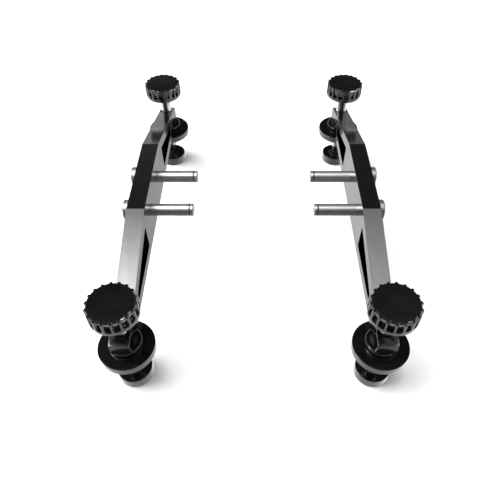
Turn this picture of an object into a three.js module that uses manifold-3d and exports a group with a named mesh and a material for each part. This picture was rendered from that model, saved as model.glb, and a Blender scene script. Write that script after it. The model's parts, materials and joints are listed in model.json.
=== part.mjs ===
// A pair of gusset-shaped alloy rails that stand on screw-adjusted levelling feet.
// Each rail carries two plain cap bolts that point inwards, towards the work, and at
// each end an upright spindle with a fluted knob above, a lock disc under the nose and
// a swivelling foot. Millimetres, +Z up, floor at Z = 0, origin midway between the rails.
import * as THREE from 'three';
import { mergeVertices } from 'three/addons/utils/BufferGeometryUtils.js';
import Module from 'manifold-3d';

const wasm = await Module();
wasm.setup();

// ---- driving dimensions -------------------------------------------------------------
const RAIL_CENTRE_X = 92.0;
const RAIL_WIDTH = 14.4;
const RAIL_HALF_LENGTH = 145.5;
const RAIL_BOTTOM_Z = 48.2;
const RAIL_TOP_Z = 88.4;
const RAIL_END_TOP_Z = 59.1;
const FLAT_TOP_HALF = 41.2;
const RAIL_CORNER_FILLET = 1.2;
const RAIL_NOSE_FILLET = 1.4;
const RAIL_BEND_FILLET = 0.4;
const RAIL_SLOPE = (RAIL_TOP_Z - RAIL_END_TOP_Z) / (RAIL_HALF_LENGTH - FLAT_TOP_HALF);

const WINDOW_INNER_Y = 50.0;
const WINDOW_OUTER_Y = 104.3;
const WINDOW_SILL_Z = 55.9;
const WINDOW_HEAD_Z = 77.4;
const WINDOW_FILLET = 1.5;

const BOLT_Y = 21.2;
const BOLT_Z = 67.8;
const BOLT_RADIUS = 5.0;
const BOLT_TIP_X = 50.25;
const BOLT_HEAD_RADIUS = 8.5;
const BOLT_HEAD_LENGTH = 8.8;
const BOLT_SOCKET_RADIUS = 4.6;
const BOLT_SOCKET_DEPTH = 5.0;
const BOLT_TIP_CHAMFER = 0.5;
const BOLT_HEAD_CHAMFER = 1.2;
const RING_X = 52.9;
const RING_WIDTH = 0.9;
const RING_DEPTH = 0.6;

const SPINDLE_Y = 133.7;
const SPINDLE_RADIUS = 5.0;
const THREAD_RADIUS = 6.0;
const THREAD_BOTTOM_Z = 24.0;
const THREAD_TOP_Z = 60.4;
const SPINDLE_SHOULDER_Z = 9.9;
const SPINDLE_TOP_Z = 90.4;

const BALL_CENTRE_Z = 6.2;
const BALL_RADIUS = 3.5;
const NECK_RADIUS = 2.2;
const SEAT_RADIUS = 4.5;
const SEAT_HALF_HEIGHT = 1.3;

const FOOT_RADIUS = 13.4;
const FOOT_TOP_Z = 9.2;
const FOOT_BOTTOM_Z = 0.8;
const PAD_RADIUS = 12.3;
const PAD_TOP_Z = 1.4;
const PAD_RECESS_Z = 1.6;
const SOCKET_RADIUS = 4.65;
const SOCKET_FLOOR_Z = 2.5;
const RETAINER_BOTTOM_Z = 8.0;
const RETAINER_RADIUS = 7.0;
const RETAINER_HOLE = 3.2;

const DISC_RADIUS = 20.8;
const DISC_BOTTOM_Z = 35.6;
const DISC_TOP_Z = 42.1;
const BOSS_RADIUS = 12.2;
const BOSS_TOP_Z = 47.9;
const BOSS_CHAMFER = 1.5;
const DISC_LEDGE = 1.5;
const WASHER_RADIUS = 8.8;
const WASHER_BOTTOM_Z = 47.0;
const LOCK_INSERT_RADIUS = 8.0;

const KNOB_RADIUS = 17.4;
const KNOB_HUB_RADIUS = 9.2;
const KNOB_HUB_Z = 80.9;
const KNOB_BOTTOM_Z = 82.0;
const KNOB_FLANGE_Z = 85.1;
const KNOB_TOP_Z = 94.7;
const KNOB_WAIST_RADIUS = 14.8;
const KNOB_CREST_RADIUS = 16.4;
const KNOB_BEVEL = 1.2;
const KNOB_RIBS = 18;
const KNOB_RIB_ROOT = 3.0;
const KNOB_RIB_TIP = 1.6;
const KNOB_INSERT_RADIUS = 6.6;
const KNOB_INSERT_TOP_Z = 91.2;

// Clearances: running on a thread, resting on a neighbour, and open space round a thread.
const RUNNING_GAP = 0.08;
const FIT_GAP = 0.1;
const OPEN_GAP = 0.3;
const CUT_PAST = 2.0;

// ---- finishes -------------------------------------------------------------------------
const FINISH = {
  alloy: { color: 0xb9bbbd, roughness: 0.28, metalness: 1.0 },
  chrome: { color: 0xd6d8da, roughness: 0.12, metalness: 1.0 },
  steel: { color: 0xc4c6c8, roughness: 0.3, metalness: 1.0 },
  darkSteel: { color: 0x3c3d40, roughness: 0.4, metalness: 1.0 },
  knob: { color: 0x0c0c0d, roughness: 0.32, metalness: 0.0 },
  black: { color: 0x0a0a0b, roughness: 0.22, metalness: 0.0 },
  nylon: { color: 0x141415, roughness: 0.55, metalness: 0.0 },
  rubber: { color: 0x161616, roughness: 0.8, metalness: 0.0 },
};

// ---- geometry helpers -------------------------------------------------------------------
// Merges shared vertices, drops collapsed triangles and turns the faces outwards.
function closedBody(source) {
  const merged = source.clone();
  merged.deleteAttribute('normal');
  merged.deleteAttribute('uv');
  const geometry = mergeVertices(merged, 1e-4);
  const at = geometry.getAttribute('position');
  const index = geometry.getIndex().array;
  const corners = [new THREE.Vector3(), new THREE.Vector3(), new THREE.Vector3()];
  const kept = [];
  let volume = 0;
  for (let i = 0; i < index.length; i += 3) {
    const face = [index[i], index[i + 1], index[i + 2]];
    if (new Set(face).size < 3) continue;
    kept.push(face);
    face.forEach((vertex, k) => corners[k].fromBufferAttribute(at, vertex));
    volume += corners[0].dot(corners[1].clone().cross(corners[2]));
  }
  const outward = volume > 0 ? kept : kept.map(([a, b, c]) => [a, c, b]);
  geometry.setIndex(outward.flat());
  return geometry;
}

function toManifold(source) {
  const geometry = closedBody(source);
  return new wasm.Manifold(new wasm.Mesh({
    numProp: 3,
    vertProperties: new Float32Array(geometry.getAttribute('position').array),
    triVerts: new Uint32Array(geometry.getIndex().array),
  }));
}

function fromManifold(solid) {
  const mesh = solid.getMesh();
  const geometry = new THREE.BufferGeometry();
  geometry.setAttribute('position', new THREE.BufferAttribute(mesh.vertProperties, 3));
  geometry.setIndex(new THREE.BufferAttribute(mesh.triVerts, 1));
  return geometry;
}

// Cuts every tool out of the body.
function cut(body, tools) {
  let solid = toManifold(body);
  for (const tool of tools) solid = solid.subtract(toManifold(tool));
  return fromManifold(solid);
}

// Joins every piece to the body.
function join(body, pieces) {
  let solid = toManifold(body);
  for (const piece of pieces) solid = solid.add(toManifold(piece));
  return fromManifold(solid);
}

// A turned solid about +Z from [radius, height] pairs.
function turned(profile, sides) {
  const points = profile.map(([radius, height]) => new THREE.Vector2(radius, height));
  return closedBody(new THREE.LatheGeometry(points, sides).rotateX(Math.PI / 2));
}

// A turned ring: the profile closes on itself.
function turnedRing(profile, sides) {
  return turned([...profile, profile[0]], sides);
}

// A faceted hole is drawn larger, so that its flats clear the round part by the gap.
function holeRadius(radius, gap, sides) {
  return (radius + gap) / Math.cos(Math.PI / sides);
}

// Points of an arc from one angle to another, in [radius, height] pairs.
function arc(centreR, centreZ, radius, from, to, steps) {
  const points = [];
  for (let i = 0; i <= steps; i += 1) {
    const angle = THREE.MathUtils.degToRad(from + ((to - from) * i) / steps);
    points.push([centreR + radius * Math.cos(angle), centreZ + radius * Math.sin(angle)]);
  }
  return points;
}

// Traces a polygon with a fillet on each corner: corners are [u, v, fillet radius].
function filletedPath(path, corners, steps) {
  const count = corners.length;
  corners.forEach(([u, v, fillet], i) => {
    const here = new THREE.Vector2(u, v);
    const [pu, pv] = corners[(i + count - 1) % count];
    const [nu, nv] = corners[(i + 1) % count];
    const back = new THREE.Vector2(pu, pv).sub(here).normalize();
    const ahead = new THREE.Vector2(nu, nv).sub(here).normalize();
    const half = Math.acos(THREE.MathUtils.clamp(back.dot(ahead), -1, 1)) / 2;
    const reach = fillet / Math.tan(half);
    const start = here.clone().addScaledVector(back, reach);
    const centre = back.clone().add(ahead).normalize().multiplyScalar(fillet / Math.sin(half)).add(here);
    const from = start.clone().sub(centre).angle();
    const end = here.clone().addScaledVector(ahead, reach);
    let sweep = end.clone().sub(centre).angle() - from;
    sweep = ((sweep + 3 * Math.PI) % (2 * Math.PI)) - Math.PI;
    for (let k = 0; k <= steps; k += 1) {
      const angle = from + (sweep * k) / steps;
      const x = centre.x + fillet * Math.cos(angle);
      const y = centre.y + fillet * Math.sin(angle);
      if (i === 0 && k === 0) path.moveTo(x, y);
      else path.lineTo(x, y);
    }
  });
  path.closePath();
  return path;
}

// Turns a shape drawn in (Y, Z) and extruded by a depth into a plate across X.
function plateAcrossX(shape, depth) {
  const geometry = new THREE.ExtrudeGeometry(shape, { depth, bevelEnabled: false });
  geometry.translate(0, 0, -depth / 2);
  const toX = new THREE.Matrix4().makeBasis(
    new THREE.Vector3(0, 1, 0),
    new THREE.Vector3(0, 0, 1),
    new THREE.Vector3(1, 0, 0),
  );
  return geometry.applyMatrix4(toX);
}

function upright(radius, low, high, sides) {
  const rod = new THREE.CylinderGeometry(radius, radius, high - low, sides);
  return rod.rotateX(Math.PI / 2).translate(0, 0, (low + high) / 2);
}

// ---- rail ---------------------------------------------------------------------------------
function railOutline() {
  return filletedPath(new THREE.Shape(), [
    [-RAIL_HALF_LENGTH, RAIL_BOTTOM_Z, RAIL_CORNER_FILLET],
    [RAIL_HALF_LENGTH, RAIL_BOTTOM_Z, RAIL_CORNER_FILLET],
    [RAIL_HALF_LENGTH, RAIL_END_TOP_Z, RAIL_NOSE_FILLET],
    [FLAT_TOP_HALF, RAIL_TOP_Z, RAIL_BEND_FILLET],
    [-FLAT_TOP_HALF, RAIL_TOP_Z, RAIL_BEND_FILLET],
    [-RAIL_HALF_LENGTH, RAIL_END_TOP_Z, RAIL_NOSE_FILLET],
  ], 2);
}

// The window tapers outwards: its head runs parallel to the sloping top above a level sill.
function railWindow(side) {
  const outerHeadZ = WINDOW_HEAD_Z - RAIL_SLOPE * (WINDOW_OUTER_Y - WINDOW_INNER_Y);
  return filletedPath(new THREE.Path(), [
    [side * WINDOW_INNER_Y, WINDOW_SILL_Z, WINDOW_FILLET],
    [side * WINDOW_OUTER_Y, WINDOW_SILL_Z, WINDOW_FILLET],
    [side * WINDOW_OUTER_Y, outerHeadZ, WINDOW_FILLET],
    [side * WINDOW_INNER_Y, WINDOW_HEAD_Z, WINDOW_FILLET],
  ], 2);
}

function railGeometry() {
  const shape = railOutline();
  shape.holes.push(railWindow(-1), railWindow(1));
  const body = plateAcrossX(shape, RAIL_WIDTH);
  const sides = 20;
  const holes = [];
  for (const end of [-1, 1]) {
    const threadHole = holeRadius(THREAD_RADIUS, RUNNING_GAP, sides);
    holes.push(upright(threadHole, RAIL_BOTTOM_Z - CUT_PAST, RAIL_TOP_Z, sides)
      .translate(0, end * SPINDLE_Y, 0));
    const boltHole = holeRadius(BOLT_RADIUS, RUNNING_GAP, sides);
    holes.push(new THREE.CylinderGeometry(boltHole, boltHole, RAIL_WIDTH + 2 * CUT_PAST, sides)
      .rotateZ(Math.PI / 2)
      .translate(0, end * BOLT_Y, BOLT_Z));
  }
  return cut(body, holes);
}

// ---- bolts: drawn along +Z from the tip at 0, laid down along X when placed ----------------
const BOLT_SHANK = RAIL_CENTRE_X + RAIL_WIDTH / 2 + FIT_GAP - BOLT_TIP_X;
const RING_START = RING_X - BOLT_TIP_X;

function boltGeometry() {
  const sides = 16;
  const neck = BOLT_RADIUS - RING_DEPTH;
  const headEnd = BOLT_SHANK + BOLT_HEAD_LENGTH;
  const body = turned([
    [0, 0],
    [BOLT_RADIUS - BOLT_TIP_CHAMFER, 0],
    [BOLT_RADIUS, BOLT_TIP_CHAMFER],
    [BOLT_RADIUS, RING_START],
    [neck, RING_START],
    [neck, RING_START + RING_WIDTH],
    [BOLT_RADIUS, RING_START + RING_WIDTH],
    [BOLT_RADIUS, BOLT_SHANK],
    [BOLT_HEAD_RADIUS, BOLT_SHANK],
    [BOLT_HEAD_RADIUS, headEnd - BOLT_HEAD_CHAMFER],
    [BOLT_HEAD_RADIUS - BOLT_HEAD_CHAMFER, headEnd],
    [0, headEnd],
  ], sides);
  const socket = upright(BOLT_SOCKET_RADIUS, headEnd - BOLT_SOCKET_DEPTH, headEnd + CUT_PAST, 6);
  return cut(body, [socket]);
}

function boltRingGeometry() {
  const sides = 12;
  const inner = holeRadius(BOLT_RADIUS - RING_DEPTH, FIT_GAP / 2, sides);
  const low = RING_START + FIT_GAP;
  const high = RING_START + RING_WIDTH - FIT_GAP;
  const outer = BOLT_RADIUS - FIT_GAP / 2;
  return turnedRing([[inner, low], [outer, low], [outer, high], [inner, high]], sides);
}

// ---- spindle ------------------------------------------------------------------------------
function spindleGeometry() {
  const neckAngle = THREE.MathUtils.radToDeg(Math.acos(NECK_RADIUS / BALL_RADIUS));
  const ball = arc(0, BALL_CENTRE_Z, BALL_RADIUS, -90, neckAngle, 4);
  ball[0][0] = 0;
  return turned([
    ...ball,
    [NECK_RADIUS, SPINDLE_SHOULDER_Z],
    [SPINDLE_RADIUS, SPINDLE_SHOULDER_Z],
    [SPINDLE_RADIUS, THREAD_BOTTOM_Z],
    [THREAD_RADIUS, THREAD_BOTTOM_Z],
    [THREAD_RADIUS, THREAD_TOP_Z],
    [SPINDLE_RADIUS, THREAD_TOP_Z],
    [SPINDLE_RADIUS, SPINDLE_TOP_Z],
    [0, SPINDLE_TOP_Z],
  ], 16);
}

// ---- knob ---------------------------------------------------------------------------------
function knobRib() {
  const root = KNOB_WAIST_RADIUS - KNOB_BEVEL;
  const outline = new THREE.Shape([
    new THREE.Vector2(root, -KNOB_RIB_ROOT / 2),
    new THREE.Vector2(KNOB_RADIUS, -KNOB_RIB_TIP / 2),
    new THREE.Vector2(KNOB_RADIUS, KNOB_RIB_TIP / 2),
    new THREE.Vector2(root, KNOB_RIB_ROOT / 2),
  ]);
  const ribTop = KNOB_TOP_Z - KNOB_BEVEL / 2;
  const low = KNOB_FLANGE_Z - OPEN_GAP;
  const depth = ribTop - low;
  return new THREE.ExtrudeGeometry(outline, { depth, bevelEnabled: false }).translate(0, 0, low);
}

function knobGeometry() {
  const sides = KNOB_RIBS;
  const bore = holeRadius(KNOB_INSERT_RADIUS, FIT_GAP, sides);
  const core = turned([
    [0, KNOB_INSERT_TOP_Z],
    [bore, KNOB_INSERT_TOP_Z],
    [bore, KNOB_HUB_Z],
    [KNOB_HUB_RADIUS, KNOB_HUB_Z],
    [KNOB_HUB_RADIUS, KNOB_BOTTOM_Z],
    [KNOB_RADIUS, KNOB_BOTTOM_Z],
    [KNOB_RADIUS, KNOB_FLANGE_Z],
    [KNOB_WAIST_RADIUS, KNOB_FLANGE_Z],
    [KNOB_CREST_RADIUS, KNOB_TOP_Z - KNOB_BEVEL],
    [KNOB_CREST_RADIUS - KNOB_BEVEL, KNOB_TOP_Z],
    [0, KNOB_TOP_Z],
  ], sides);
  const ribs = [];
  for (let i = 0; i < KNOB_RIBS; i += 1) {
    ribs.push(knobRib().rotateZ((i * 2 * Math.PI) / KNOB_RIBS));
  }
  return join(core, ribs);
}

function knobInsertGeometry() {
  const sides = 12;
  const hole = holeRadius(SPINDLE_RADIUS, FIT_GAP, sides);
  const top = KNOB_INSERT_TOP_Z - FIT_GAP;
  return turnedRing([
    [hole, KNOB_HUB_Z + OPEN_GAP],
    [KNOB_INSERT_RADIUS, KNOB_HUB_Z + OPEN_GAP],
    [KNOB_INSERT_RADIUS, top],
    [hole, top],
  ], sides);
}

// ---- lock disc ----------------------------------------------------------------------------
function lockDiscGeometry() {
  const sides = 24;
  const hole = holeRadius(THREAD_RADIUS, 2 * OPEN_GAP, sides);
  const pocket = holeRadius(LOCK_INSERT_RADIUS, FIT_GAP, sides);
  const recess = holeRadius(WASHER_RADIUS, FIT_GAP, sides);
  const recessZ = WASHER_BOTTOM_Z - FIT_GAP;
  return turnedRing([
    [pocket, DISC_BOTTOM_Z],
    [DISC_RADIUS, DISC_BOTTOM_Z],
    [DISC_RADIUS, DISC_TOP_Z],
    [BOSS_RADIUS, DISC_TOP_Z],
    [BOSS_RADIUS, BOSS_TOP_Z - BOSS_CHAMFER],
    [BOSS_RADIUS - BOSS_CHAMFER, BOSS_TOP_Z],
    [recess, BOSS_TOP_Z],
    [recess, recessZ],
    [hole, recessZ],
    [hole, recessZ - DISC_LEDGE],
    [pocket, recessZ - DISC_LEDGE],
  ], sides);
}

function lockInsertGeometry() {
  const sides = 12;
  const hole = holeRadius(THREAD_RADIUS, RUNNING_GAP, sides);
  const low = DISC_BOTTOM_Z + 2 * FIT_GAP;
  const high = WASHER_BOTTOM_Z - DISC_LEDGE - 2 * FIT_GAP;
  return turnedRing([
    [hole, low],
    [LOCK_INSERT_RADIUS, low],
    [LOCK_INSERT_RADIUS, high],
    [hole, high],
  ], sides);
}

function lockWasherGeometry() {
  const sides = 16;
  const hole = holeRadius(THREAD_RADIUS, OPEN_GAP, sides);
  const top = RAIL_BOTTOM_Z - FIT_GAP;
  return turnedRing([
    [hole, WASHER_BOTTOM_Z],
    [WASHER_RADIUS, WASHER_BOTTOM_Z],
    [WASHER_RADIUS, top],
    [hole, top],
  ], sides);
}

// ---- swivelling foot ------------------------------------------------------------------------
// A spherical liner round the spindle's ball, which the foot tilts on.
function ballSeatGeometry() {
  const sides = 12;
  const hole = holeRadius(BALL_RADIUS, RUNNING_GAP, sides);
  const tip = THREE.MathUtils.radToDeg(Math.asin(SEAT_HALF_HEIGHT / SEAT_RADIUS));
  return turnedRing([
    ...arc(0, BALL_CENTRE_Z, SEAT_RADIUS, -tip, tip, 2),
    [hole, BALL_CENTRE_Z + SEAT_HALF_HEIGHT],
    [hole, BALL_CENTRE_Z - SEAT_HALF_HEIGHT],
  ], sides);
}

function footGeometry() {
  const sides = 20;
  const socket = holeRadius(SOCKET_RADIUS, 0, sides);
  const step = holeRadius(RETAINER_RADIUS, FIT_GAP, sides);
  const recess = holeRadius(PAD_RADIUS, FIT_GAP, sides);
  return turned([
    [0, PAD_RECESS_Z],
    [recess, PAD_RECESS_Z],
    [recess, FOOT_BOTTOM_Z],
    [FOOT_RADIUS, FOOT_BOTTOM_Z],
    [FOOT_RADIUS, FOOT_TOP_Z],
    [step, FOOT_TOP_Z],
    [step, RETAINER_BOTTOM_Z - FIT_GAP],
    [socket, RETAINER_BOTTOM_Z - FIT_GAP],
    [socket, SOCKET_FLOOR_Z],
    [0, SOCKET_FLOOR_Z],
  ], sides);
}

function retainerGeometry() {
  const sides = 12;
  const hole = holeRadius(RETAINER_HOLE, 0, sides);
  return turnedRing([
    [hole, RETAINER_BOTTOM_Z],
    [RETAINER_RADIUS, RETAINER_BOTTOM_Z],
    [RETAINER_RADIUS, FOOT_TOP_Z - FIT_GAP],
    [hole, FOOT_TOP_Z - FIT_GAP],
  ], sides);
}

function padGeometry() {
  return turned([
    [0, 0],
    [PAD_RADIUS, 0],
    [PAD_RADIUS, PAD_TOP_Z],
    [0, PAD_TOP_Z],
  ], 20);
}

// ---- assembly -------------------------------------------------------------------------------
const assembly = new THREE.Group();

function addMesh(parent, name, geometry, finish) {
  const mesh = new THREE.Mesh(geometry, new THREE.MeshStandardMaterial(FINISH[finish]));
  mesh.name = name;
  parent.add(mesh);
  return mesh;
}

const CORNER_PIECES = [
  ['knob', knobGeometry(), 'knob'],
  ['knob_insert', knobInsertGeometry(), 'darkSteel'],
  ['spindle', spindleGeometry(), 'chrome'],
  ['lock_disc', lockDiscGeometry(), 'black'],
  ['lock_insert', lockInsertGeometry(), 'darkSteel'],
  ['lock_washer', lockWasherGeometry(), 'nylon'],
  ['ball_seat', ballSeatGeometry(), 'nylon'],
  ['foot', footGeometry(), 'black'],
  ['foot_retainer', retainerGeometry(), 'black'],
  ['foot_pad', padGeometry(), 'rubber'],
];
const RAIL = railGeometry();
const BOLT = boltGeometry();
const BOLT_RING = boltRingGeometry();

for (const [sideName, side] of [['left', -1], ['right', 1]]) {
  const rail = addMesh(assembly, `rail_${sideName}`, RAIL, 'alloy');
  rail.position.x = side * RAIL_CENTRE_X;
  for (const [endName, end] of [['front', -1], ['rear', 1]]) {
    const corner = `${endName}_${sideName}`;
    const bolt = new THREE.Group();
    bolt.position.set(side * BOLT_TIP_X, end * BOLT_Y, BOLT_Z);
    bolt.rotation.y = (side * Math.PI) / 2;
    addMesh(bolt, `bolt_${corner}`, BOLT, 'steel');
    addMesh(bolt, `bolt_ring_${corner}`, BOLT_RING, 'rubber');
    assembly.add(bolt);
    const leg = new THREE.Group();
    leg.position.set(side * RAIL_CENTRE_X, end * SPINDLE_Y, 0);
    for (const [piece, geometry, finish] of CORNER_PIECES) {
      addMesh(leg, `${piece}_${corner}`, geometry, finish);
    }
    assembly.add(leg);
  }
}

export default assembly;
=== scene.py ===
"""Looks for a pair of alloy levelling rails: knobs, threaded spindles, lock discs, feet and bolts."""
import json
import math

import bmesh
import bpy
from mathutils import Matrix, Vector

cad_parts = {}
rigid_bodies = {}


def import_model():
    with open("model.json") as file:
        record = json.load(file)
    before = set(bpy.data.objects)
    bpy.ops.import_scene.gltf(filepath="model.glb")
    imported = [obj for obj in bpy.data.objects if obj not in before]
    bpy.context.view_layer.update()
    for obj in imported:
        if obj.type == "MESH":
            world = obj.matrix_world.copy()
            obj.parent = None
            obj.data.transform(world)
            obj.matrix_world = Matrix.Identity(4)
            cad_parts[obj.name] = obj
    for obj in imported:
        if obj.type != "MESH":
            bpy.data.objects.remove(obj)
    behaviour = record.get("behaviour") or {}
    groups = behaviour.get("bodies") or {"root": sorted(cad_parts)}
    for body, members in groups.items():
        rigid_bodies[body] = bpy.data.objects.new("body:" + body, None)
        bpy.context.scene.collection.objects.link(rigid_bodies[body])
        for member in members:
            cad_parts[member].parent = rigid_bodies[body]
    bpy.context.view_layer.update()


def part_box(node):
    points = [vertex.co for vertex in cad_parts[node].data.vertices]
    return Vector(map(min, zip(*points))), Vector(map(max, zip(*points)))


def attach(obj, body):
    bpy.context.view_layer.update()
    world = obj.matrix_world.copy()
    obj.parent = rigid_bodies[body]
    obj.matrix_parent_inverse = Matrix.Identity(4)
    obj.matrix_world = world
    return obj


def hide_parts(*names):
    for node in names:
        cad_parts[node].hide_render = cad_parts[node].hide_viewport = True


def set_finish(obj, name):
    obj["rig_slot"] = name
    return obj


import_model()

MM = 0.001
ON_AXIS = 1e-6


# ---- places, from the frame ----------------------------------------------------------------
def centre_of(node):
    low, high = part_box(node)
    return (low + high) / 2


def span_of(node, axis):
    """Lowest and highest coordinate of a node along an axis, in millimetres."""
    low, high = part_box(node)
    return low[axis] / MM, high[axis] / MM


SIDES = {"left": -1, "right": 1}
ENDS = {"front": -1, "rear": 1}
CORNERS = [(f"{end}_{side}", SIDES[side], ENDS[end]) for side in SIDES for end in ENDS]
SAMPLE = "front_right"

RAIL_CENTRE = centre_of("rail_right")
RAIL_BOTTOM, RAIL_TOP = span_of("rail_right", 2)
RAIL_HALF_LENGTH = span_of("rail_right", 1)[1]
RAIL_HALF_WIDTH = (span_of("rail_right", 0)[1] - span_of("rail_right", 0)[0]) / 2
SPINDLE_Y = abs(centre_of(f"spindle_{SAMPLE}").y) / MM
BOLT_Y = abs(centre_of(f"bolt_{SAMPLE}").y) / MM
BOLT_Z = centre_of(f"bolt_{SAMPLE}").z / MM

# ---- shape values that the boxes don't give, in millimetres ------------------------------------
FIT_GAP = 0.1
CUT_PAST = 2.0

RAIL_END_TOP = 59.1
FLAT_TOP_HALF = 41.2
RAIL_SLOPE = (RAIL_TOP - RAIL_END_TOP) / (RAIL_HALF_LENGTH - FLAT_TOP_HALF)
RAIL_BEVEL = 0.12
RAIL_CORNER_FILLET = 1.2
RAIL_NOSE_FILLET = 0.7
WINDOW_INNER_Y = 50.0
WINDOW_OUTER_Y = 104.3
WINDOW_SILL = 55.9
WINDOW_HEAD = 77.4
WINDOW_FILLET = 1.5

BOLT_RADIUS = 5.0
BOLT_HOLE = BOLT_RADIUS + FIT_GAP
BOLT_HEAD_RADIUS = 8.5
BOLT_HEAD_LENGTH = 8.8
BOLT_DISH_RADIUS = 5.6
BOLT_DISH_DEPTH = 0.35
BOLT_SOCKET_RADIUS = 4.6
BOLT_SOCKET_DEPTH = 5.0
GROOVE_START = 2.65
GROOVE_END = 3.55
GROOVE_DEPTH = 0.6

SPINDLE_RADIUS = 5.0
SPINDLE_SHOULDER = 9.9
BALL_RADIUS = 3.5
NECK_RADIUS = 2.2
SEAT_RADIUS = 4.5
SEAT_HOLE = 3.6
THREAD_RADIUS = 6.0
THREAD_PITCH = 1.75
THREAD_DEPTH = 0.95
THREAD_BOTTOM = 24.0
THREAD_TOP = 60.4
THREAD_RUNOUT = 1.6
SPINDLE_HOLE = THREAD_RADIUS + FIT_GAP

KNOB_RADIUS = 17.4
KNOB_BOTTOM = 82.0
KNOB_FLANGE = 85.1
KNOB_RIBS = 18
HUB_RADIUS = 9.2
HUB_BOTTOM = 80.9
HUB_BORE = 6.75
HUB_BORE_TOP = 91.2

DISC_RADIUS = 20.8
DISC_TOP = 42.1
DISC_BORE = 8.1
DISC_LEDGE = 45.4
DISC_LEDGE_RADIUS = 6.6
BOSS_RADIUS = 12.2
WASHER_POCKET_RADIUS = 8.95
WASHER_POCKET = 46.9

FOOT_RADIUS = 13.4
PAD_POCKET_RADIUS = 12.4
PAD_POCKET = 1.6
FOOT_SOCKET_RADIUS = 4.75
FOOT_SOCKET_FLOOR = 2.5
RETAINER_POCKET_RADIUS = 7.15
RETAINER_POCKET = 7.9


# ---- mesh helpers --------------------------------------------------------------------------
def link(name, mesh):
    piece = bpy.data.objects.new(name, mesh)
    bpy.context.scene.collection.objects.link(piece)
    return piece


def mesh_from(name, bm):
    bmesh.ops.recalc_face_normals(bm, faces=bm.faces)
    mesh = bpy.data.meshes.new(name)
    bm.to_mesh(mesh)
    bm.free()
    return mesh


def apply_modifiers(piece):
    """Replaces the piece's mesh by what its modifiers make of it."""
    bpy.context.view_layer.update()
    shown = piece.evaluated_get(bpy.context.evaluated_depsgraph_get())
    mesh = bpy.data.meshes.new_from_object(shown)
    piece.modifiers.clear()
    piece.data = mesh
    return piece


def smooth(piece, crease=None):
    """Smooth shading in which the large flat faces keep their own normals.

    crease(vertex) picks the vertices whose edges stay sharp."""
    mesh = piece.data
    for face in mesh.polygons:
        face.use_smooth = True
    if crease:
        picked = [crease(vertex.co / MM) for vertex in mesh.vertices]
        for edge in mesh.edges:
            edge.use_edge_sharp = all(picked[i] for i in edge.vertices)
    weighted = piece.modifiers.new("normals", "WEIGHTED_NORMAL")
    weighted.weight = 90
    weighted.keep_sharp = crease is not None
    return apply_modifiers(piece)


def shaded_by_angle(piece, degrees):
    """Smooth shading with a sharp edge wherever faces meet at more than an angle."""
    for face in piece.data.polygons:
        face.use_smooth = True
    piece.data.set_sharp_from_angle(angle=math.radians(degrees))
    return piece


def rounded(corners, steps=4):
    """A closed outline of (u, v, fillet radius) corners, each turned into an arc of short steps.

    A corner that lies on a straight stretch becomes points along that stretch."""
    points = []
    count = len(corners)
    for i, (u, v, radius) in enumerate(corners):
        here = Vector((u, v))
        if radius <= 0:
            points.append(here)
            continue
        back = (Vector(corners[i - 1][:2]) - here).normalized()
        ahead = (Vector(corners[(i + 1) % count][:2]) - here).normalized()
        half = back.angle(ahead) / 2
        if math.degrees(half) > 89.9:
            points += [here + back * radius * (1 - 2 * k / steps) for k in range(steps + 1)]
            continue
        reach = radius / math.tan(half)
        centre = here + (back + ahead).normalized() * (radius / math.sin(half))
        start = here + back * reach - centre
        end = here + ahead * reach - centre
        sweep = start.angle_signed(end)
        for k in range(steps + 1):
            turned_by = Matrix.Rotation(-sweep * k / steps, 2)
            points.append(centre + turned_by @ start)
    return points


def turned(name, corners, sides=72, steps=4):
    """A turned piece about +Z from (radius, height, fillet) corners. Corners on the axis close it."""
    bm = bmesh.new()
    rings = []
    for radius, height in rounded(corners, steps):
        if radius < ON_AXIS:
            rings.append([bm.verts.new((0, 0, height * MM))])
            continue
        ring = []
        for k in range(sides):
            angle = 2 * math.pi * k / sides
            ring.append(bm.verts.new((radius * MM * math.cos(angle),
                                      radius * MM * math.sin(angle), height * MM)))
        rings.append(ring)
    for i, low in enumerate(rings):
        high = rings[(i + 1) % len(rings)]
        bridge(bm, low, high, sides)
    piece = link(name, mesh_from(name, bm))
    return smooth(piece)


def bridge(bm, low, high, sides):
    """Joins two neighbouring rings, either of which may be a single point on the axis."""
    if len(low) == 1 and len(high) == 1:
        return
    for k in range(sides):
        j = (k + 1) % sides
        if len(low) == 1:
            bm.faces.new((low[0], high[j], high[k]))
        elif len(high) == 1:
            bm.faces.new((low[k], low[j], high[0]))
        else:
            bm.faces.new((low[k], low[j], high[j], high[k]))


def cylinder_tool(name, radius, low, high, sides, at=(0, 0)):
    """A plain upright cutter in millimetres."""
    bm = bmesh.new()
    bmesh.ops.create_cone(bm, cap_ends=True, segments=sides, radius1=radius * MM,
                          radius2=radius * MM, depth=(high - low) * MM)
    bmesh.ops.translate(bm, verts=bm.verts,
                        vec=(at[0] * MM, at[1] * MM, (low + high) / 2 * MM))
    return link(name, mesh_from(name, bm))


def cut(piece, tools):
    for tool in tools:
        boolean = piece.modifiers.new("cut", "BOOLEAN")
        boolean.operation = "DIFFERENCE"
        boolean.solver = "EXACT"
        boolean.object = tool
    apply_modifiers(piece)
    for tool in tools:
        bpy.data.objects.remove(tool)
    return piece


# ---- rail --------------------------------------------------------------------------------------
def add_spline(curve, points):
    spline = curve.splines.new("POLY")
    spline.points.add(len(points) - 1)
    for point, (y, z) in zip(spline.points, points):
        point.co = (y * MM, z * MM, 0, 1)
    spline.use_cyclic_u = True


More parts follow.
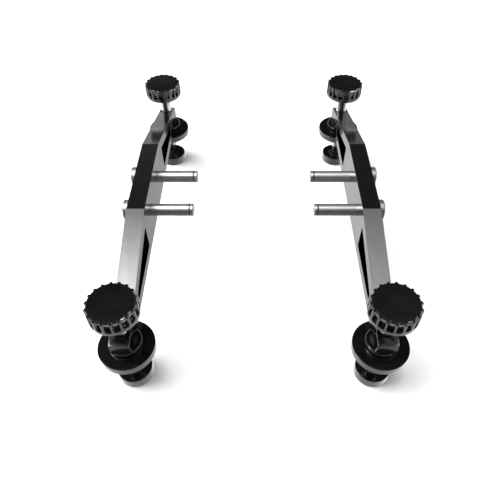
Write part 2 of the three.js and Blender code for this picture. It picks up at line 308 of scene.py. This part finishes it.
def rail_piece(name):
    """The rail's side outline with its windows and bolt holes, bevelled, laid across X."""
    curve = bpy.data.curves.new(name, "CURVE")
    curve.dimensions = "2D"
    curve.fill_mode = "BOTH"
    curve.bevel_depth = RAIL_BEVEL * MM
    curve.bevel_resolution = 2
    curve.extrude = (RAIL_HALF_WIDTH - RAIL_BEVEL) * MM
    curve.offset = -RAIL_BEVEL * MM
    end = RAIL_HALF_LENGTH
    add_spline(curve, rounded([
        (-end, RAIL_BOTTOM, RAIL_CORNER_FILLET), (end, RAIL_BOTTOM, RAIL_CORNER_FILLET),
        (end, RAIL_END_TOP, RAIL_NOSE_FILLET), (FLAT_TOP_HALF, RAIL_TOP, 0),
        (-FLAT_TOP_HALF, RAIL_TOP, 0), (-end, RAIL_END_TOP, RAIL_NOSE_FILLET)], 6))
    outer_head = WINDOW_HEAD - RAIL_SLOPE * (WINDOW_OUTER_Y - WINDOW_INNER_Y)
    for side in (-1, 1):
        outline = rounded([(side * WINDOW_INNER_Y, WINDOW_SILL, WINDOW_FILLET),
                           (side * WINDOW_OUTER_Y, WINDOW_SILL, WINDOW_FILLET),
                           (side * WINDOW_OUTER_Y, outer_head, WINDOW_FILLET),
                           (side * WINDOW_INNER_Y, WINDOW_HEAD, WINDOW_FILLET)], 6)
        add_spline(curve, outline if side < 0 else outline[::-1])
        rim = [(side * BOLT_Y + BOLT_HOLE * math.cos(a), BOLT_Z - BOLT_HOLE * math.sin(a))
               for a in (2 * math.pi * k / 48 for k in range(48))]
        add_spline(curve, rim)
    flat = link(name + "_outline", curve)
    bpy.context.view_layer.update()
    mesh = bpy.data.meshes.new_from_object(flat)
    bpy.data.objects.remove(flat)
    mesh.transform(Matrix(((0, 0, 1, 0), (1, 0, 0, 0), (0, 1, 0, 0), (0, 0, 0, 1))))
    mesh.name = name
    bm = bmesh.new()
    bm.from_mesh(mesh)
    bmesh.ops.remove_doubles(bm, verts=bm.verts, dist=0.002 * MM)
    bmesh.ops.recalc_face_normals(bm, faces=bm.faces)
    bm.to_mesh(mesh)
    bm.free()
    piece = link(name, mesh)
    tools = [cylinder_tool("hole", SPINDLE_HOLE, RAIL_BOTTOM - CUT_PAST, RAIL_TOP, 64,
                           at=(0, side * SPINDLE_Y)) for side in (-1, 1)]
    cut(piece, tools)
    return smooth(piece, crease=lambda at: at.z > RAIL_TOP - 1.0
                  and abs(abs(at.y) - FLAT_TOP_HALF) < 0.7)


# ---- bolts, drawn along +Z from the tip at 0 ---------------------------------------------------
def bolt_piece(name):
    x_low, x_high = span_of(f"bolt_{SAMPLE}", 0)
    length = x_high - x_low
    shank = length - BOLT_HEAD_LENGTH
    floor = length - BOLT_DISH_DEPTH
    r, groove = BOLT_RADIUS, BOLT_RADIUS - GROOVE_DEPTH
    body = turned(name, [
        (0, 0, 0), (r, 0, 0.6), (r, GROOVE_START, 0.12), (groove, GROOVE_START, 0.08),
        (groove, GROOVE_END, 0.08), (r, GROOVE_END, 0.12), (r, shank, 0.1),
        (BOLT_HEAD_RADIUS, shank, 0.3), (BOLT_HEAD_RADIUS, length, 1.3),
        (BOLT_DISH_RADIUS, length, 0.15), (BOLT_DISH_RADIUS - 0.4, floor, 0), (0, floor, 0)], 80, 5)
    hexagon = cylinder_tool("socket", BOLT_SOCKET_RADIUS, length - BOLT_SOCKET_DEPTH,
                            length + CUT_PAST, 6)
    return smooth(cut(body, [hexagon]))


def bolt_ring_piece(name):
    """The ring that fills most of the groove near the bolt's tip."""
    inner = BOLT_RADIUS - GROOVE_DEPTH + 0.08
    outer = BOLT_RADIUS - 0.12
    start, end = GROOVE_START + 0.07, GROOVE_END - 0.07
    return turned(name, [(inner, start, 0.1), (outer, start, 0.2), (outer, end, 0.2),
                         (inner, end, 0.1)], 64, 3)


# ---- spindle -----------------------------------------------------------------------------------
def thread_rings(low, high, sides):
    """Rings of a right-hand thread whose ridge fades out at both ends: (height, radii)."""
    steps_per_pitch = 10
    flank_gain, crest_drop = 1.25, 0.12
    core = SPINDLE_RADIUS + 0.02
    count = round((high - low) / THREAD_PITCH * steps_per_pitch)
    rings = []
    for i in range(count + 1):
        z = low + (high - low) * i / count
        fade = min(1.0, (z - low) / THREAD_RUNOUT, (high - z) / THREAD_RUNOUT)
        radii = []
        for k in range(sides):
            phase = (z / THREAD_PITCH - k / sides) % 1.0
            ridge = min(1.0, max(0.0, flank_gain * (1 - abs(2 * phase - 1)) - crest_drop))
            crest = THREAD_RADIUS - THREAD_DEPTH * (1 - ridge)
            radii.append(core + (crest - core) * max(0.0, fade))
        rings.append((z, radii))
    return rings


def spindle_piece(name):
    """The ball and neck below, then the rod with its thread in the middle."""
    sides = 48
    low, high = span_of(f"spindle_{SAMPLE}", 2)
    edge, ball_steps = 0.5, 12
    ball_centre = low + BALL_RADIUS
    neck_angle = math.acos(NECK_RADIUS / BALL_RADIUS)
    rings = []
    for k in range(1, ball_steps + 1):
        angle = -math.pi / 2 + (neck_angle + math.pi / 2) * k / ball_steps
        rings.append((ball_centre + BALL_RADIUS * math.sin(angle),
                      [BALL_RADIUS * math.cos(angle)] * sides))
    for z, radius in ((SPINDLE_SHOULDER, NECK_RADIUS), (SPINDLE_SHOULDER, SPINDLE_RADIUS - 0.4),
                      (SPINDLE_SHOULDER + 0.4, SPINDLE_RADIUS)):
        rings.append((z, [radius] * sides))
    rings += thread_rings(THREAD_BOTTOM, THREAD_TOP, sides)
    for z, radius in ((high - edge, SPINDLE_RADIUS), (high, SPINDLE_RADIUS - edge)):
        rings.append((z, [radius] * sides))
    bm = bmesh.new()
    loops = [[bm.verts.new((0, 0, low * MM))]]
    for z, radii in rings:
        loops.append([bm.verts.new((radii[k] * MM * math.cos(2 * math.pi * k / sides),
                                    radii[k] * MM * math.sin(2 * math.pi * k / sides), z * MM))
                      for k in range(sides)])
    loops.append([bm.verts.new((0, 0, high * MM))])
    for first, second in zip(loops, loops[1:]):
        bridge(bm, first, second, sides)
    return shaded_by_angle(link(name, mesh_from(name, bm)), 50)


# ---- knob --------------------------------------------------------------------------------------
def knob_piece(name):
    """A knob whose wall waves between a recess profile and a rib profile, all in one skin."""
    top = span_of(f"knob_{SAMPLE}", 2)[1]
    rim, flange = KNOB_RADIUS, KNOB_FLANGE
    underside = [(rim, KNOB_BOTTOM, 0.5), (HUB_RADIUS, KNOB_BOTTOM, 0.3),
                 (HUB_RADIUS, HUB_BOTTOM, 0.3), (HUB_BORE, HUB_BOTTOM, 0.15),
                 (HUB_BORE, HUB_BORE_TOP, 0), (0, HUB_BORE_TOP, 0)]
    recess = rounded([(0, top, 0), (rim - 1.9, top, 0.7), (rim - 1.0, top - 1.0, 0.3),
                      (rim - 2.9, flange, 0.3), (rim, flange, 0.3), *underside])
    rib = rounded([(0, top, 0), (rim - 0.7, top, 0.4), (rim, top - 0.9, 0.3),
                   (rim, flange + 1.6, 0.4), (rim, flange + 0.4, 0.3), *underside])
    shares = rib_shares()
    bm = bmesh.new()
    loops = []
    for (r0, z0), (r1, z1) in zip(recess, rib):
        if r0 < ON_AXIS and r1 < ON_AXIS:
            loops.append([bm.verts.new((0, 0, z0 * MM))])
            continue
        loop = []
        for angle, share in shares:
            radius = (r0 + (r1 - r0) * share) * MM
            loop.append(bm.verts.new((radius * math.cos(angle), radius * math.sin(angle),
                                      (z0 + (z1 - z0) * share) * MM)))
        loops.append(loop)
    for first, second in zip(loops, loops[1:] + loops[:1]):
        bridge(bm, first, second, len(shares))
    return shaded_by_angle(link(name, mesh_from(name, bm)), 38)


def rib_shares():
    """Angles round the knob, each with its share of rib from 0 in a recess to 1 on a rib's tip."""
    half_tip, half_root = math.radians(2.2), math.radians(4.6)
    pitch = 2 * math.pi / KNOB_RIBS
    corner = math.radians(0.6)
    marks = [(0, 1), (half_tip - corner, 1), (half_tip, 0.93), (half_root - corner, 0.12),
             (half_root, 0), (half_root + corner * 2, 0), (pitch / 2, 0)]
    one = [(-a, s) for a, s in reversed(marks[1:-1])] + marks
    return [(i * pitch + a, s) for i in range(KNOB_RIBS) for a, s in one]


# ---- other turned pieces -----------------------------------------------------------------------
def tube(name, node, inner, outer, fillets, sides):
    """A plain ring as tall as its node, with (inner, outer) fillets below and above."""
    low, high = span_of(node, 2)
    (low_inner, low_outer), (high_inner, high_outer) = fillets
    return turned(name, [(inner, low, low_inner), (outer, low, low_outer),
                         (outer, high, high_outer), (inner, high, high_inner)], sides)


def knob_insert_piece(name):
    """The insert, a hair shorter than the knob's bore at both ends."""
    low, high, inner, outer = HUB_BOTTOM + 0.3, HUB_BORE_TOP - 0.1, 5.1, 6.6
    return turned(name, [(inner, low, 0.2), (outer, low, 0.2), (outer, high, 0.2),
                         (inner, high, 0.2)], 48)


def lock_disc_piece(name):
    """The disc, its raised boss and the pocket in the boss for the washer."""
    low, high = span_of(f"lock_disc_{SAMPLE}", 2)
    return turned(name, [
        (DISC_BORE, low, 0.4), (DISC_RADIUS, low, 0.8), (DISC_RADIUS, DISC_TOP, 0.6),
        (BOSS_RADIUS, DISC_TOP, 0.5), (BOSS_RADIUS, high, 1.6), (WASHER_POCKET_RADIUS, high, 0.2),
        (WASHER_POCKET_RADIUS, WASHER_POCKET, 0), (DISC_LEDGE_RADIUS, WASHER_POCKET, 0.2),
        (DISC_LEDGE_RADIUS, DISC_LEDGE, 0), (DISC_BORE, DISC_LEDGE, 0)], 120, 5)


def lock_insert_piece(name):
    return tube(name, f"lock_insert_{SAMPLE}", 6.1, 8.0, ((0.3, 0.2), (0.3, 0.2)), 48)


def lock_washer_piece(name):
    return tube(name, f"lock_washer_{SAMPLE}", 6.4, 8.8, ((0.2, 0.2), (0.2, 0.2)), 64)


def ball_seat_piece(name):
    """A short liner whose outside follows the spindle's ball."""
    low, high = span_of(f"ball_seat_{SAMPLE}", 2)
    middle, steps = (low + high) / 2, 6
    belly = [(math.sqrt(SEAT_RADIUS ** 2 - (z - middle) ** 2), z, 0)
             for z in (low + (high - low) * k / steps for k in range(steps + 1))]
    return turned(name, [*belly, (SEAT_HOLE, high, 0.1), (SEAT_HOLE, low, 0.1)], 48)


def foot_piece(name):
    """The round foot: a pocket below for the pad, and a socket and pocket above for the ball."""
    low, high = span_of(f"foot_{SAMPLE}", 2)
    return turned(name, [
        (0, PAD_POCKET, 0), (PAD_POCKET_RADIUS, PAD_POCKET, 0), (PAD_POCKET_RADIUS, low, 0.15),
        (FOOT_RADIUS, low, 0.3), (FOOT_RADIUS, high, 0.7), (RETAINER_POCKET_RADIUS, high, 0.25),
        (RETAINER_POCKET_RADIUS, RETAINER_POCKET, 0), (FOOT_SOCKET_RADIUS, RETAINER_POCKET, 0.15),
        (FOOT_SOCKET_RADIUS, FOOT_SOCKET_FLOOR, 0.3), (0, FOOT_SOCKET_FLOOR, 0)], 96, 5)


def foot_retainer_piece(name):
    return tube(name, f"foot_retainer_{SAMPLE}", 3.2, 7.0, ((0.3, 0.1), (0.4, 0.25)), 64)


def foot_pad_piece(name):
    low, high = span_of(f"foot_pad_{SAMPLE}", 2)
    radius = 12.3
    return turned(name, [(0, low, 0), (radius, low, 0.35), (radius, high, 0.1), (0, high, 0)], 96)


# ---- materials ---------------------------------------------------------------------------------
class Paint:
    """A Principled material with a small graph of noise for its colour, roughness and bump."""

    def __init__(self, name, **sockets):
        self.material = bpy.data.materials.new(name)
        self.material.use_nodes = True
        self.nodes = self.material.node_tree.nodes
        self.links = self.material.node_tree.links
        self.shader = self.nodes["Principled BSDF"]
        for socket, value in sockets.items():
            self.shader.inputs[socket.replace("_", " ")].default_value = value

    def noise(self, stretch, scale, detail=3.0):
        """Noise in the piece's own space; stretch sets how fine it is along each axis."""
        place = self.nodes.new("ShaderNodeTexCoord")
        mapping = self.nodes.new("ShaderNodeMapping")
        mapping.inputs["Scale"].default_value = stretch
        texture = self.nodes.new("ShaderNodeTexNoise")
        texture.inputs["Scale"].default_value = scale
        texture.inputs["Detail"].default_value = detail
        self.links.new(place.outputs["Object"], mapping.inputs["Vector"])
        self.links.new(mapping.outputs["Vector"], texture.inputs["Vector"])
        return texture.outputs["Fac"]

    def math(self, operation, first, second=0.0):
        """A math node on two values, each a socket or a number."""
        node = self.nodes.new("ShaderNodeMath")
        node.operation = operation
        for socket, value in zip(node.inputs, (first, second)):
            if isinstance(value, (int, float)):
                socket.default_value = value
            else:
                self.links.new(value, socket)
        return node.outputs[0]

    def ramp(self, value, low, high):
        """Maps the middle of the noise's range onto the stretch between two numbers."""
        node = self.nodes.new("ShaderNodeMapRange")
        node.inputs["From Min"].default_value = 0.35
        node.inputs["From Max"].default_value = 0.65
        node.inputs["To Min"].default_value = low
        node.inputs["To Max"].default_value = high
        self.links.new(value, node.inputs["Value"])
        return node.outputs["Result"]

    def roughness(self, value, low, high):
        self.links.new(self.ramp(value, low, high), self.shader.inputs["Roughness"])

    def colour(self, value, dark, light):
        """Base colour that varies with noise between two colours."""
        mix = self.nodes.new("ShaderNodeMix")
        mix.data_type = "RGBA"
        mix.inputs["A"].default_value = (*dark, 1)
        mix.inputs["B"].default_value = (*light, 1)
        self.links.new(self.ramp(value, 0, 1), mix.inputs["Factor"])
        self.links.new(mix.outputs["Result"], self.shader.inputs["Base Color"])
        return mix.outputs["Result"]

    def bump(self, value, distance):
        """Relief from noise, with its depth in millimetres."""
        node = self.nodes.new("ShaderNodeBump")
        node.inputs["Distance"].default_value = distance * MM
        node.inputs["Strength"].default_value = 1.0
        self.links.new(value, node.inputs["Height"])
        self.links.new(node.outputs["Normal"], self.shader.inputs["Normal"])


def window_shade_mask(paint):
    """1 on the walls of the rail's windows, which get a near-black painted shade for the shade inside
    the windows, 0 on its polished faces.
    """
    place = paint.nodes.new("ShaderNodeTexCoord")
    split = paint.nodes.new("ShaderNodeSeparateXYZ")
    paint.links.new(place.outputs["Object"], split.inputs["Vector"])
    across = paint.math("ABSOLUTE", split.outputs["X"])
    along = paint.math("ABSOLUTE", split.outputs["Y"])
    height = split.outputs["Z"]
    margin = 3.0
    head_line = WINDOW_HEAD + RAIL_SLOPE * WINDOW_INNER_Y
    level = paint.math("ADD", height, paint.math("MULTIPLY", along, RAIL_SLOPE))
    limits = [("LESS_THAN", across, RAIL_HALF_WIDTH - RAIL_BEVEL),
              ("GREATER_THAN", along, WINDOW_INNER_Y - margin),
              ("LESS_THAN", along, WINDOW_OUTER_Y + margin),
              ("GREATER_THAN", height, WINDOW_SILL - margin),
              ("LESS_THAN", level, head_line + margin)]
    inside = 1.0
    for operation, value, limit in limits:
        inside = paint.math("MULTIPLY", inside, paint.math(operation, value, limit * MM))
    return inside


def alloy_paint():
    paint = Paint("alloy", Metallic=1.0)
    broad = paint.noise((1, 1, 1), 60)
    lines = paint.noise((9, 0.35, 9), 900, 2)
    polished = paint.colour(broad, (0.40, 0.405, 0.41), (0.44, 0.445, 0.45))
    # Painted shade: the window walls are coloured near-black to stand for the shade inside the windows.
    shaded_walls = paint.nodes.new("ShaderNodeMix")
    shaded_walls.data_type = "RGBA"
    shaded_walls.inputs["B"].default_value = (0.012, 0.012, 0.013, 1)
    paint.links.new(window_shade_mask(paint), shaded_walls.inputs["Factor"])
    paint.links.new(polished, shaded_walls.inputs["A"])
    paint.links.new(shaded_walls.outputs["Result"], paint.shader.inputs["Base Color"])
    paint.roughness(lines, 0.11, 0.17)
    paint.bump(lines, 0.0006)
    return paint.material


def steel_paint():
    paint = Paint("turned_steel", Metallic=1.0)
    rings = paint.noise((0.4, 0.4, 12), 700, 2)
    broad = paint.noise((1, 1, 1), 120)
    paint.colour(broad, (0.60, 0.60, 0.60), (0.66, 0.66, 0.66))
    paint.roughness(rings, 0.40, 0.48)
    paint.bump(rings, 0.0004)
    return paint.material


def chrome_paint():
    paint = Paint("ground_chrome", Metallic=1.0)
    haze = paint.noise((1, 1, 1), 150)
    rings = paint.noise((0.5, 0.5, 14), 900, 2)
    paint.colour(haze, (0.70, 0.71, 0.72), (0.75, 0.76, 0.77))
    paint.roughness(haze, 0.05, 0.09)
    paint.bump(rings, 0.0003)
    return paint.material


def black_paint(name, low, high, grain, depth):
    paint = Paint(name, IOR=1.5)
    broad = paint.noise((1, 1, 1), 90)
    fine = paint.noise((1, 1, 1), grain, 4)
    paint.colour(broad, (0.0020, 0.0020, 0.0022), (0.0028, 0.0028, 0.0030))
    paint.roughness(broad, low, high)
    paint.bump(fine, depth)
    return paint.material


def insert_paint():
    paint = Paint("blackened_steel", Metallic=1.0)
    rings = paint.noise((0.5, 0.5, 10), 800, 2)
    paint.colour(rings, (0.045, 0.045, 0.048), (0.075, 0.075, 0.08))
    paint.roughness(rings, 0.22, 0.36)
    paint.bump(rings, 0.002)
    return paint.material


def matt_paint(name, dark, light, low, high, grain, depth):
    paint = Paint(name)
    broad = paint.noise((1, 1, 1), 150)
    fine = paint.noise((1, 1, 1), grain, 4)
    paint.colour(broad, (dark,) * 3, (light,) * 3)
    paint.roughness(fine, low, high)
    paint.bump(fine, depth)
    return paint.material


PAINTS = {
    "alloy": alloy_paint(),
    "satin_steel": steel_paint(),
    "chrome_steel": chrome_paint(),
    "insert_steel": insert_paint(),
    "knob_black": black_paint("moulded_black", 0.10, 0.17, 1500, 0.002),
    "gloss_black": black_paint("polished_black", 0.06, 0.11, 1200, 0.001),
    "nylon_black": matt_paint("nylon", 0.012, 0.018, 0.4, 0.55, 1800, 0.006),
    "rubber_black": matt_paint("rubber", 0.010, 0.016, 0.6, 0.8, 2200, 0.01),
    "ring_rubber": matt_paint("nitrile", 0.008, 0.012, 0.45, 0.6, 2200, 0.006),
}


# ---- assembly ----------------------------------------------------------------------------------
CORNER_PIECES = {
    "knob": ("screw", "knob_black", knob_piece),
    "knob_insert": ("screw", "insert_steel", knob_insert_piece),
    "spindle": ("screw", "chrome_steel", spindle_piece),
    "lock_disc": ("lock", "gloss_black", lock_disc_piece),
    "lock_insert": ("lock", "insert_steel", lock_insert_piece),
    "lock_washer": ("thrust", "nylon_black", lock_washer_piece),
    "ball_seat": ("seat", "nylon_black", ball_seat_piece),
    "foot": ("foot", "gloss_black", foot_piece),
    "foot_retainer": ("foot", "nylon_black", foot_retainer_piece),
    "foot_pad": ("foot", "rubber_black", foot_pad_piece),
}
BOLT_PIECES = {
    "bolt": ("pin", "satin_steel", bolt_piece),
    "bolt_ring": ("pin_slide", "ring_rubber", bolt_ring_piece),
}


def place(pattern, name, node, body, slot_name, matrix, turn=0.0):
    """Copies a pattern, turned about its own axis, onto its place and its body."""
    piece = link(name, pattern.data.copy())
    piece.data.transform(Matrix.Rotation(turn, 4, "Z"))
    piece.data.materials.clear()
    piece.data.materials.append(PAINTS[slot_name])
    piece.matrix_world = matrix
    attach(piece, body)
    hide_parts(node)
    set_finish(piece, slot_name)
    return piece


def build_rails():
    pattern = rail_piece("rail_pattern")
    for side, sign in SIDES.items():
        at = Matrix.Translation((sign * RAIL_CENTRE.x, 0, 0))
        place(pattern, f"bar_{side}", f"rail_{side}", f"{side}_rail", "alloy", at)
    bpy.data.objects.remove(pattern)


def build_legs():
    """One of each leg piece per corner.

    Each leg is turned by a different number of whole ribs, which shows only in its thread."""
    turn = 5 * 2 * math.pi / KNOB_RIBS
    for kind, (body, slot_name, make) in CORNER_PIECES.items():
        pattern = make(kind + "_pattern")
        for i, (corner, sx, sy) in enumerate(CORNERS):
            at = Matrix.Translation((sx * RAIL_CENTRE.x, sy * SPINDLE_Y * MM, 0))
            place(pattern, f"{kind}.{corner}", f"{kind}_{corner}", f"{body}_{corner}", slot_name,
                  at, i * turn)
        bpy.data.objects.remove(pattern)


def build_bolts():
    """One of each bolt piece per corner, its tip towards the other rail, its socket at any angle."""
    tip = span_of(f"bolt_{SAMPLE}", 0)[0] * MM
    turn = math.pi / 9
    for kind, (body, slot_name, make) in BOLT_PIECES.items():
        pattern = make(kind + "_pattern")
        for i, (corner, sx, sy) in enumerate(CORNERS):
            lie = Matrix.Rotation(sx * math.pi / 2, 4, "Y")
            at = Matrix.Translation((sx * tip, sy * BOLT_Y * MM, BOLT_Z * MM)) @ lie
            place(pattern, f"{kind}.{corner}", f"{kind}_{corner}", f"{body}_{corner}", slot_name,
                  at, i * turn)
        bpy.data.objects.remove(pattern)


# ---- studio ------------------------------------------------------------------------------------
def build_camera():
    """A camera that looks down on the pair from the front."""
    pitch_below_level = 48.98
    data = bpy.data.cameras.new("camera")
    data.sensor_width = 36.0
    data.lens = 34.72
    data.shift_x = -0.0074
    camera = bpy.data.objects.new("camera", data)
    camera.location = (0, -0.3112, 0.3499)
    camera.rotation_euler = (math.radians(90 - pitch_below_level), 0, 0)
    bpy.context.scene.collection.objects.link(camera)
    bpy.context.scene.camera = camera


def build_floor():
    """A wide pale floor that mirrors don't show, because the fields of the world stand in for it."""
    bm = bmesh.new()
    bmesh.ops.create_grid(bm, x_segments=1, y_segments=1, size=6.0)
    floor = link("floor", mesh_from("floor", bm))
    material = bpy.data.materials.new("floor")
    material.use_nodes = True
    shader = material.node_tree.nodes["Principled BSDF"]
    shader.inputs["Base Color"].default_value = (0.86, 0.86, 0.86, 1)
    shader.inputs["Roughness"].default_value = 0.9
    shader.inputs["Specular IOR Level"].default_value = 0.0
    floor.data.materials.append(material)
    floor.visible_glossy = False


def area_light(name, place, aim, size, power, glossy=True):
    """A rectangular light of size metres and power watts, hidden from the camera."""
    data = bpy.data.lights.new(name, "AREA")
    data.shape = "RECTANGLE"
    data.size, data.size_y = size
    data.energy = power
    light = bpy.data.objects.new(name, data)
    light.location = place
    light.rotation_euler = (Vector(aim) - Vector(place)).to_track_quat("-Z", "Y").to_euler()
    light.visible_glossy = glossy
    light.visible_camera = False
    bpy.context.scene.collection.objects.link(light)
    return light


def glow(nodes, links, direction, centre, widths, strength):
    """A bright field of the room: a bell curve about one direction, as wide as stated along X, Y, Z."""
    away = nodes.new("ShaderNodeVectorMath")
    away.operation = "SUBTRACT"
    away.inputs[1].default_value = centre
    links.new(direction, away.inputs[0])
    scaled = nodes.new("ShaderNodeVectorMath")
    scaled.operation = "DIVIDE"
    scaled.inputs[1].default_value = widths
    links.new(away.outputs[0], scaled.inputs[0])
    square = nodes.new("ShaderNodeVectorMath")
    square.operation = "DOT_PRODUCT"
    links.new(scaled.outputs[0], square.inputs[0])
    links.new(scaled.outputs[0], square.inputs[1])
    half = nodes.new("ShaderNodeMath")
    half.operation = "MULTIPLY"
    half.inputs[1].default_value = -0.5
    links.new(square.outputs["Value"], half.inputs[0])
    bell = nodes.new("ShaderNodeMath")
    bell.operation = "EXPONENT"
    links.new(half.outputs[0], bell.inputs[0])
    level = nodes.new("ShaderNodeMath")
    level.operation = "MULTIPLY"
    level.inputs[1].default_value = strength
    links.new(bell.outputs[0], level.inputs[0])
    return level.outputs[0]


def build_world():
    """A dark room with soft bright fields, each a direction, its widths and its strength."""
    world = bpy.data.worlds.new("studio")
    world.use_nodes = True
    bpy.context.scene.world = world
    nodes, links = world.node_tree.nodes, world.node_tree.links
    direction = nodes.new("ShaderNodeTexCoord").outputs["Generated"]
    base_strength = 0.012
    fields = {
        "overhead_left": ((-0.55, -0.02, 0.97), (0.30, 0.120, 0.50), 2.9),
        "overhead_wide": ((0.0, -0.05, 0.97), (0.90, 0.233, 0.50), 0.80),
        "behind_high": ((-0.40, 0.90, 0.44), (0.18, 0.09, 0.10), 0.14),
        "floor_behind": ((-1.0, 0.75, -0.60), (0.90, 0.45, 0.45), 0.98),
        "floor_in_front": ((0.0, -0.50, -0.85), (0.80, 0.50, 0.50), 0.12),
        "behind_level": ((-0.35, 1.0, 0.0), (0.35, 0.40, 0.14), 0.18),
        "floor_left": ((-1.0, 0.1, -0.50), (0.35, 0.60, 0.35), 1.5),
        "floor_right": ((1.0, 0.1, -0.50), (0.35, 0.60, 0.35), 1.5),
    }
    total = None
    for towards, widths, strength in fields.values():
        value = glow(nodes, links, direction, towards, widths, strength)
        if total is None:
            total = value
            continue
        add = nodes.new("ShaderNodeMath")
        links.new(total, add.inputs[0])
        links.new(value, add.inputs[1])
        total = add.outputs[0]
    nodes["Background"].inputs["Color"].default_value = (1, 1, 1, 1)
    base = nodes.new("ShaderNodeMath")
    base.inputs[1].default_value = base_strength
    links.new(total, base.inputs[0])
    links.new(base.outputs[0], nodes["Background"].inputs["Strength"])


def lit_only(light, slots):
    """Keeps a light for the pieces of these material slots."""
    lit = bpy.data.collections.new(light.name + "_pieces")
    for piece in bpy.data.objects:
        if piece.get("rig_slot") in slots:
            lit.objects.link(piece)
    light.light_linking.receiver_collection = lit


def build_lights():
    """Two soft lights for everything, then lights that only some of the materials receive.

    The card lies on the floor and gives the black pieces the brightness of the floor below them."""
    card_size, card_radiance = 4.0, 1.3
    area_light("key", (-0.9, 0.15, 1.1), (0, 0, 0), (1.3, 1.3), 34, glossy=False)
    area_light("top", (0.0, 0.0, 1.6), (0, 0, 0), (1.6, 1.6), 22, glossy=False)
    edge = area_light("edge", (0.74, -0.42, 0.70), (0, 0, 0.05), (1.1, 0.10), 30)
    lit_only(edge, ("knob_black",))
    card = area_light("card", (0, 0, 0.0004), (0, 0, 1), (card_size, card_size),
                      card_size ** 2 * math.pi * card_radiance)
    lit_only(card, ("knob_black", "gloss_black"))
    low = area_light("low", (-0.85, -0.30, 0.40), (0, 0, 0.04), (0.3, 0.3), 5)
    lit_only(low, ("gloss_black",))
    sheen = area_light("sheen", (-0.3, -0.1, 1.2), (0, 0, 0), (0.7, 0.8), 9)
    lit_only(sheen, ("satin_steel",))


build_rails()
build_legs()
build_bolts()
build_camera()
build_floor()
build_world()
build_lights()
bpy.context.scene.view_settings.view_transform = "Standard"
